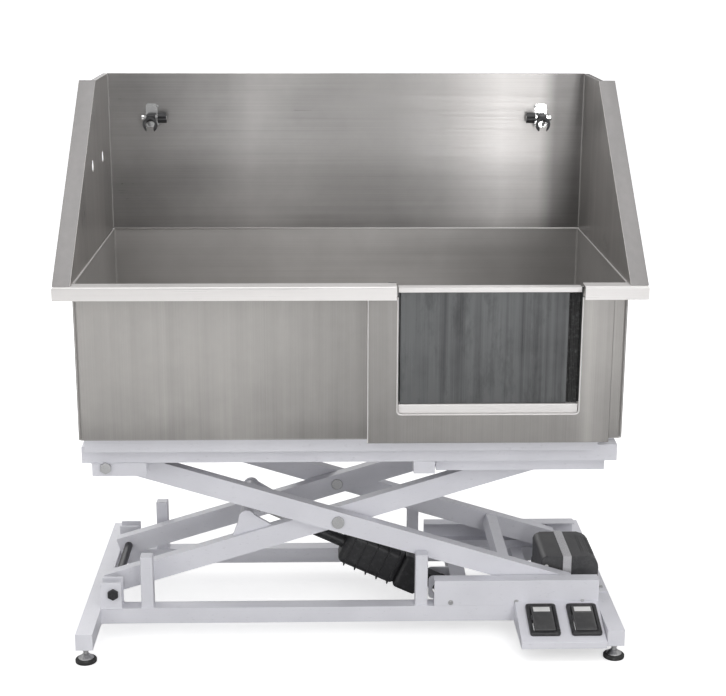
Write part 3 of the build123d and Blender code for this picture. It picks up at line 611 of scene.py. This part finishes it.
def tub_fixings():
    """Screws of the holder plates, and a screw at the foot of each wing."""
    bm = bmesh.new()
    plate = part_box("holder_plates")
    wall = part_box("splash_back")[0].y
    for x in (plate[0].x + 38 * MM, plate[1].x - 38 * MM):
        for z in (plate[0].z + 7 * MM, plate[1].z - 7 * MM):
            add_screw(bm, (x, wall - 3 * MM, z), (0, -1, 0), 3.2 * MM)
    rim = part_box("rim")
    for s in (-1, 1):
        add_screw(bm, (s * (rim[1].x - 19 * MM), rim[0].y + 22 * MM, rim[1].z), (0, 0, 1), 4 * MM)
    screws = mesh_object("tub_screws", bm)
    finish_piece(screws, "zinc", "tub")


# ---- lift details ---------------------------------------------------------------------------------
def rectangle(lo, hi, z):
    """Corners of a box's outline at one height."""
    return [(lo[0], lo[1], z), (hi[0], lo[1], z), (hi[0], hi[1], z), (lo[0], hi[1], z)]


def solids_of(node):
    """Boxes of the separate solids in a group node, in order of place, so that every run is the same."""
    bm = bmesh.new()
    bm.from_mesh(nodes[node].data)
    bmesh.ops.remove_doubles(bm, verts=bm.verts, dist=SAME_POINT)
    left = set(bm.verts)
    boxes = []
    while left:
        front = [left.pop()]
        island = []
        while front:
            v = front.pop()
            island.append(v.co.copy())
            for e in v.link_edges:
                other = e.other_vert(v)
                if other in left:
                    left.discard(other)
                    front.append(other)
        boxes.append((Vector(map(min, zip(*island))), Vector(map(max, zip(*island)))))
    bm.free()
    outer = [b for b in boxes if not any(inside(b, other) for other in boxes if other is not b)]
    return sorted(outer, key=lambda box: (*box[0], *box[1]))


def inside(a, b):
    """Whether box a lies wholly within box b."""
    return all(a[0][k] > b[0][k] and a[1][k] < b[1][k] for k in range(3))


def lift_welds():
    """Weld beads round the feet of posts and brackets and at the ends of rails and cross tubes."""
    bead = 1.9 * MM
    bm = bmesh.new()
    seed = 0
    for node in ("rest_posts", "lower_brackets"):
        for lo, hi in solids_of(node):
            seed += 1
            add_tube(bm, rectangle(lo, hi, lo.z), bead, 8, True, 0.35, seed)
    for lo, hi in solids_of("base_rails"):
        for x in (lo.x, hi.x):
            seed += 1
            ring = [(x, lo.y, lo.z), (x, hi.y, lo.z), (x, hi.y, hi.z), (x, lo.y, hi.z)]
            add_tube(bm, ring, bead, 8, True, 0.35, seed)
    base = mesh_object("base_welds", bm)
    finish_piece(base, "paint", "base", 60)
    bm = bmesh.new()
    for lo, hi in solids_of("upper_brackets"):
        seed += 1
        add_tube(bm, rectangle(lo, hi, hi.z), bead, 8, True, 0.35, seed)
    for lo, hi in solids_of("upper_tracks"):
        for y in (lo.y, hi.y):
            seed += 1
            line = [(lo.x + 30 * MM, y, hi.z), (hi.x - 30 * MM, y, hi.z)]
            add_tube(bm, line, bead * 0.8, 8, False, 0.35, seed)
    upper = mesh_object("upper_frame_welds", bm)
    finish_piece(upper, "paint", "tub", 60)


def lift_bolts():
    """Bolts of the lower tracks, the control tray and the upper frame."""
    bm = bmesh.new()
    for lo, hi in solids_of("lower_tracks"):
        outer = lo.y if lo.y < 0 else hi.y
        way = -1 if lo.y < 0 else 1
        for k in (0.1, 0.5, 0.9):
            add_bolt(bm, (lo.x + (hi.x - lo.x) * k, outer, lo.z + 9 * MM), (0, way, 0), 5 * MM)
    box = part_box("control_box")
    for x in (box[1].x + 10 * MM, box[0].x - 10 * MM):
        for y in (box[0].y + 20 * MM, box[1].y - 20 * MM):
            add_bolt(bm, (x, y, box[0].z), (0, 0, 1), 4 * MM)
    base = mesh_object("base_bolts", bm)
    finish_piece(base, "zinc", "base")
    bm = bmesh.new()
    track_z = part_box("upper_tracks")[0].z
    for lo, hi in solids_of("upper_frame_tubes"):
        if hi.x - lo.x > 1:
            y = (lo.y + hi.y) / 2
            add_bolt(bm, (FRAME_BOLT_X[0], y, lo.z), (0, 0, -1), 8 * MM)
            add_bolt(bm, (FRAME_BOLT_X[1], y, track_z), (0, 0, -1), 6 * MM)
    upper = mesh_object("upper_frame_bolts", bm)
    finish_piece(upper, "zinc", "tub")


def levelling_foot(node):
    """Rubber pad moulded round a domed steel disc, with its stud and lock nut."""
    low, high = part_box(node)
    at = Matrix.Translation(((low.x + high.x) / 2, (low.y + high.y) / 2, low.z))
    r = (high.x - low.x) / MM / 2
    top = high.z / MM
    bm = bmesh.new()
    add_lathe(bm, in_mm((0, 0), (r - 2, 0), (r - 0.6, 0.7), (r, 2.2), (r, 7), (r - 1, 8.4), (r - 3.5, 10),
                        (r - 6, 11), (r - 7, 11.2), (0, 11.2)), at, 48)
    rubber = mesh_object(node + "_pad", bm)
    finish_piece(rubber, "rubber", nodes[node]["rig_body"])
    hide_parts(node)
    bm = bmesh.new()
    add_lathe(bm, in_mm((0, 11), (r - 6.5, 11), (r - 7.5, 12.6), (13, 15), (9.5, 18.5), (8, 20), (6, 20.4),
                        (6, top - 1), (5, top), (0, top)), at, 32)
    add_lathe(bm, in_mm((0, 30), (10, 30), (11, 30.8), (11, 36.6), (10, 37.5), (0, 37.5)), at, 6)
    stud = mesh_object(node + "_stud", bm)
    finish_piece(stud, "zinc", nodes[node]["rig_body"])


# ---- control box ----------------------------------------------------------------------------------
def control_box():
    """Moulded housing: a lower tray, a lid with rounded shoulders and cooling ribs, screws and a lamp."""
    lo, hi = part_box("control_box")
    bm = bmesh.new()
    split = lo.z + 24 * MM
    add_block(bm, lo, (hi.x, hi.y, split), 5 * MM)
    lid = bmesh.new()
    shoulder, corner = 30 * MM, 16 * MM
    inset = 2 * MM
    outline = [(lo.x + inset, split + 1 * MM), (hi.x - inset, split + 1 * MM)]
    for cx, r, first in ((hi.x - inset - shoulder, shoulder, 0),
                         (lo.x + inset + corner, corner, math.pi / 2)):
        for k in range(9):
            a = first + math.pi / 2 * k / 8
            outline.append((cx + r * math.cos(a), hi.z - r + r * math.sin(a)))
    ends = [[lid.verts.new((x, y, z)) for x, z in outline] for y in (lo.y + inset, hi.y - inset)]
    band(lid, *ends)
    for ring in ends:
        lid.faces.new(ring)
    rounded = [e for e in lid.edges if abs((e.verts[0].co - e.verts[1].co).y) < TINY]
    bmesh.ops.bevel(lid, geom=rounded, offset=5 * MM, segments=3, profile=0.5,
                    affect="EDGES", clamp_overlap=True)
    merge(bm, lid)
    shell = mesh_object("control_housing", bm)
    finish_piece(shell, "grey", "base", 35)
    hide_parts("control_box")
    bm = bmesh.new()
    for k in range(7):
        x = hi.x - 42 * MM + k * 5 * MM
        top = hi.z - max(0, k - 3) * 1.6 * MM
        add_block(bm, (x, lo.y + 30 * MM, top - 1.2 * MM), (x + 2 * MM, hi.y - 30 * MM, top), 0.5 * MM, 2)
    for x in (lo.x + 14 * MM, hi.x - 14 * MM):
        add_screw(bm, (x, lo.y + 1.5 * MM, lo.z + 12 * MM), (0, -1, 0), 3.5 * MM)
    trim = mesh_object("control_ribs", bm)
    finish_piece(trim, "black", "base")
    bm = bmesh.new()
    add_lathe(bm, in_mm((0, 0), (5, 0), (5, 1), (4, 2), (0, 2.6)),
              pointing((lo.x + 15 * MM, lo.y + 1.6 * MM, hi.z - 26 * MM), (0, -1, 0)), 24)
    lamp = mesh_object("control_lamp", bm)
    finish_piece(lamp, "white", "base")


def control_plugs():
    """Ribbed plug bodies with a tapered relief for each lead."""
    bm = bmesh.new()
    for lo, hi in solids_of("connector_plugs"):
        at = pointing((hi.x, (lo.y + hi.y) / 2, (lo.z + hi.z) / 2), (-1, 0, 0))
        length = (hi.x - lo.x) / MM
        r = (hi.z - lo.z) / MM / 2
        body = [(0, 0), (r, 0)]
        for k in range(9):
            h = 4 + k * 3.4
            body += [(r, h), (r - 0.9, h + 0.7), (r - 0.9, h + 1.8), (r, h + 2.4)]
        body += [(r, 38), (r - 2.2, 40), (5.8, 41), (3.6, length), (0, length)]
        add_lathe(bm, in_mm(*body), at, 28)
    plugs = mesh_object("ribbed_plugs", bm)
    finish_piece(plugs, "black", "base")
    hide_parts("connector_plugs")


# ---- pedals ---------------------------------------------------------------------------------------
def pedal_frame(node):
    """Placing on a pedal: local X across it, -Y down the slope, Z out of the sloping face."""
    lo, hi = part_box(node)
    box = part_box("pedal_box")
    slope = math.atan2(*PEDAL_FALL)
    middle = (lo + hi) / 2
    surface = box[1].z - (box[1].y - middle.y) * math.tan(slope)
    return Matrix.Translation((middle.x, middle.y, surface)) @ Matrix.Rotation(slope, 4, "X")


def pedal(node):
    """Rocker pedal: ribbed pad with a plain white bar instead of lettering."""
    place = pedal_frame(node)
    body = nodes[node]["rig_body"]
    bm = bmesh.new()
    add_block(bm, *in_mm((-25.5, -44, 2.5), (25.5, 44, 9.5)), 2.5 * MM, 4, place)
    for k in range(14):
        y = -39 + k * 4
        add_block(bm, *in_mm((-21, y, 9), (21, y + 1.8, 10.6)), 0.6 * MM, 2, place)
    pad = mesh_object(node + "_pad", bm)
    finish_piece(pad, "pad", body)
    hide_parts(node)
    bm = bmesh.new()
    add_block(bm, *in_mm((-20, 22, 9), (20, 38, 10.6)), 1 * MM, 2, place)
    bar = mesh_object(node + "_bar", bm)
    finish_piece(bar, "white", body)


def pedal_surrounds():
    """Raised bezels round the pedals."""
    bm = bmesh.new()
    for node in ("pedal_up", "pedal_down"):
        place = pedal_frame(node)
        section = in_mm((36, 56, 0.2), (36, 56, 5.5), (33.5, 53.5, 8), (28.5, 48.5, 8), (27, 47, 6.5),
                        (27, 47, -22))
        rings = [[bm.verts.new(place @ Vector((x, y, up))) for x, y in rounded_rectangle(*half, 7 * MM)]
                 for *half, up in section]
        for a, b in zip(rings, rings[1:] + rings[:1]):
            band(bm, a, b)
    bezels = mesh_object("pedal_bezels", bm)
    finish_piece(bezels, "black", "base")
    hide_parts("pedal_housings")


def rounded_rectangle(half_x, half_y, radius):
    points = []
    for sx, sy, first in ((1, 1, 0), (-1, 1, 1), (-1, -1, 2), (1, -1, 3)):
        points += corner_arc(sx * (half_x - radius), sy * (half_y - radius), radius, first, 5)
    return points


# ---- actuator -------------------------------------------------------------------------------------
def actuator_place():
    """Local X from the foot pin towards the lever, Z across it, upwards."""
    joints = {j["name"]: j for j in frame["joints"]}
    axis = -Vector(joints["actuator_stroke"]["axis"])
    low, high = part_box("actuator_foot_pin")
    foot = (low + high) / 2
    across = axis.cross(Vector((0, 1, 0)))
    if across.z < 0:
        across = -across
    turn = Matrix((axis, across.cross(axis), across)).transposed().to_4x4()
    return Matrix.Translation(foot) @ turn


def actuator():
    """Gear case and ribbed motor housing with cover screws, the foot's eye, and the tube with its glands."""
    place = actuator_place()
    bm = bmesh.new()
    add_block(bm, *in_mm((56, -43, -46), (120, 43, 45)), 10 * MM, 4, place)
    add_block(bm, *in_mm((116, -38, -45), (274, 38, 44)), 16 * MM, 5, place)
    for k in range(5):
        x = 132 + 30 * k
        add_block(bm, *in_mm((x, -40, -46.5), (x + 3, 40, 45)), 1.2 * MM, 2, place)
    add_block(bm, *in_mm((6, -20, -16), (60, 20, 16)), 3 * MM, 3, place)
    side = place @ pointing((0, 20 * MM, 0), (0, -1, 0))
    add_lathe(bm, in_mm((6.2, 0), (15, 0), (17, 1.5), (17, 38.5), (15, 40), (6.2, 40), (6.2, 0)), side, 32)
    case = mesh_object("actuator_case", bm)
    finish_piece(case, "black", "actuator")
    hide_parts("actuator_housing")
    bm = bmesh.new()
    for x in (68 * MM, 108 * MM):
        for z in (-34 * MM, 32 * MM):
            for s in (-1, 1):
                at = place @ Vector((x, s * 42.6 * MM, z))
                add_screw(bm, at, (0, s, 0), 4 * MM)
    screws = mesh_object("actuator_screws", bm)
    finish_piece(screws, "zinc", "actuator")
    bm = bmesh.new()
    along = place @ pointing((0, 0, 0), (1, 0, 0))
    add_lathe(bm, in_mm((11.1, 270), (17, 270), (17, 278), (15.5, 280), (15.5, 386), (17, 388), (17, 398),
                        (15.8, 400), (11.1, 400), (11.1, 270)), along, 40)
    sleeve = mesh_object("actuator_sleeve", bm)
    finish_piece(sleeve, "black", "actuator")
    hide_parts("actuator_tube")


# ---- basin and door -------------------------------------------------------------------------------
def door_opening():
    """Left, right and bottom edge of the opening in the front wall."""
    low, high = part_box("door_guides")
    return low.x + 22 * MM, high.x - 22 * MM, low.z


def basin_shell():
    """The four walls as one folded sheet with rounded upright corners, open at the door."""
    front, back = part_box("basin_front"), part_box("basin_back")
    left, right, sill = door_opening()
    x, y0, y1 = front[1].x, front[0].y, back[1].y
    z0, z1 = back[0].z, front[1].z
    radius = 9 * MM
    outline = [(left, y0), (right, y0)]
    for cx, cy, first in ((x - radius, y0 + radius, -1), (x - radius, y1 - radius, 0),
                          (radius - x, y1 - radius, 1), (radius - x, y0 + radius, 2)):
        outline += corner_arc(cx, cy, radius, first)
    bm = bmesh.new()
    rings = [[bm.verts.new((px, py, z)) for px, py in outline] for z in (z0, sill, z1)]
    count = len(outline)
    below, above = zip(rings, rings[1:])
    band(bm, *below)
    a, b = above
    for k in range(1, count):
        bm.faces.new((a[k], a[(k + 1) % count], b[(k + 1) % count], b[k]))
    shell = mesh_object("basin_shell", bm)
    sheet = shell.modifiers.new("sheet", "SOLIDIFY")
    sheet.thickness = SHEET
    sheet.offset = -1
    sheet.material_offset = 1
    sheet.material_offset_rim = 1
    finish_piece(shell, "front", "tub", 25)
    # the inside of the sheet takes the lighter basin copy of the steel: painted light
    shell.data.materials.append(MATS["basin"])
    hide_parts("basin_front", "basin_back", "basin_ends")


def opening_lip():
    """Folded edge of the door opening, and the rounded outer edge of the door frame, as beads in the lighter
    rim steel that paints the highlight these edges catch.
    """
    left, right, sill = door_opening()
    low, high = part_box("door_frame")
    y = low.y + 1.2 * MM
    corner = 9 * MM
    arcs = corner_arc(left + corner, sill + corner, corner, 2)
    arcs += corner_arc(right - corner, sill + corner, corner, 3)
    path = [(left, y, high.z)] + [(x, y, z) for x, z in arcs] + [(right, y, high.z)]
    bm = bmesh.new()
    add_tube(bm, path, 2 * MM)
    add_tube(bm, [(low.x + 1.5 * MM, y, low.z + 1 * MM), (low.x + 1.5 * MM, y, high.z)], 1.7 * MM)
    lip = mesh_object("opening_lip", bm)
    # the beads take the lighter rim steel: painted highlight
    finish_piece(lip, "rim", "tub")


def lift_door():
    """Door panel with its hemmed grip in the lighter rim steel as a painted highlight, and a black rubber
    strip with ribs in the gap beside the panel as painted shade.
    """
    panel = soften("door_panel", 0.8, "door")
    # the top fold takes the lighter rim steel: painted highlight
    panel.data.materials.append(MATS["rim"])
    low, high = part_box("door_panel")
    for face in panel.data.polygons:
        face.material_index = int(face.center.z > high.z - 11.5 * MM)
    right = door_opening()[1]
    face_y = -0.31
    foot = [v.co for v in nodes["door_panel"].data.vertices if v.co.z < low.z + 1 * MM]
    skin = max(p.x for p in foot if p.y < face_y)
    # black rubber strip in the gap beside the panel, standing in for the gap's shade: painted shade
    bm = bmesh.new()
    back = high.y - 2 * MM
    add_block(bm, (skin + 1 * MM, back - 4 * MM, low.z), (right - 2 * MM, back, high.z - 4 * MM), 1 * MM)
    for k in range(3):
        x = skin + (5 + 8 * k) * MM
        add_block(bm, (x, back - 7 * MM, low.z), (x + 3 * MM, back - 3 * MM, high.z - 4 * MM), 1.2 * MM)
    slot_shade = mesh_object("door_slot_shade", bm)
    finish_piece(slot_shade, "rubber", "door")


def wing_flanges():
    """The wings' folded edges get a darker, rougher copy of the wing steel: painted shade."""
    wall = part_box("splash_back")[1].x
    for side in ("wing_left", "wing_right"):
        piece = bpy.data.objects[side + "_finished"]
        piece.data.materials.append(MATS["flange"])
        for face in piece.data.polygons:
            face.material_index = int(abs(face.center.x) > wall + 0.5 * MM)


# ---- leads ----------------------------------------------------------------------------------------
# routes of the leads in mm, from part.py
PEDAL_LEAD = ((413, -88, 101), (390, -88, 101), (372, -102, 80), (376, -130, 47), (397, -162, 28),
              (420, -196, 25), (433, -224, 34), (437, -240, 56))
ACTUATOR_LEAD = ((413, -60, 101), (389, -60, 101), (362, -57, 84), (340, -52, 68), (318, -48, 60),
                 (297, -48, 60))


def lead(node, route):
    """Round machine lead on one smooth line through its route's points."""
    data = bpy.data.curves.new(node + "_flex", "CURVE")
    data.dimensions = "3D"
    data.bevel_depth = 3 * MM
    data.bevel_resolution = 4
    data.resolution_u = 16
    data.use_fill_caps = True
    spline = data.splines.new("NURBS")
    spline.points.add(len(route) - 1)
    for point, place in zip(spline.points, route):
        point.co = (*[MM * v for v in place], 1)
    spline.order_u = 3
    spline.use_endpoint_u = True
    flex = bpy.data.objects.new(node + "_flex", data)
    scene.collection.objects.link(flex)
    data.materials.append(MATS["rubber"])
    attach(flex, "base")
    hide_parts(node)


# ---- CAD nodes with rounded edges -----------------------------------------------------------------
# nodes of each material, with the rounding of their edges in mm
SOFTENED = {
    "paint": (("base_beams", 3), ("base_rails", 3), ("lower_brackets", 0.8), ("rest_posts", 2.5),
              ("lower_tracks", 0.8), ("actuator_mount", 1), ("inner_arms", 3), ("outer_arms", 3),
              ("outer_arm_cross_tube", 2), ("lever", 1), ("upper_frame_tubes", 3), ("upper_brackets", 0.8),
              ("upper_tracks", 0.8), ("tub_skirts", 2), ("pedal_box", 0.8), ("control_tray", 0.8)),
    "zinc": (("upper_pivot_shaft", 0.8), ("centre_pins", 1),
             ("lower_roller_axles", 0.6), ("upper_roller_axles", 0.6), ("actuator_foot_pin", 0.6)),
    "dark": (("lower_pivot_shaft", 0.8),),
    "wing": (("wing_left", 0.7), ("wing_right", 0.7)),
    "hood": (("splash_back", 0.7),),
    "front": (("door_frame", 1.4),),
    # the door sill takes the lighter rim steel: painted highlight
    "rim": (("door_sill", 0.5),),
    "black": (("shower_cradle_left", 1), ("shower_cradle_right", 1), ("holder_knob_left", 1),
              ("holder_knob_right", 1)),
    "polished": (("holder_plates", 0.8), ("drain_body", 0.5), ("drain_strainer", 0.4), ("actuator_rod", 0.8)),
    "strap": (("control_strap", 0.5),),
    "nylon": (("lower_roller_front", 0.8), ("lower_roller_rear", 0.8),
              ("upper_roller_front", 0.8), ("upper_roller_rear", 0.8)),
}
# nodes that keep their CAD mesh
# the basin floor takes the lighter basin copy of the steel: painted light
PLAIN = {"basin": ("basin_floor",), "front": ("door_guides",)}


def dress_cad():
    """Materials and soft edges for the nodes that keep their CAD shape."""
    for mat, entries in SOFTENED.items():
        for node, width in entries:
            soften(node, width, mat)
    for mat, names in PLAIN.items():
        for node in names:
            nodes[node].data.materials.clear()
            nodes[node].data.materials.append(MATS[mat])


camera()
studio()
lead("pedal_lead", PEDAL_LEAD)
lead("actuator_lead", ACTUATOR_LEAD)
dress_cad()
basin_shell()
opening_lip()
lift_door()
wing_flanges()
folded_rim()
hood_seams()
tub_fixings()
lift_welds()
lift_bolts()
for foot in ("foot_front_left", "foot_front_right", "foot_rear_left", "foot_rear_right"):
    levelling_foot(foot)
control_box()
control_plugs()
for pad in ("pedal_up", "pedal_down"):
    pedal(pad)
pedal_surrounds()
actuator()
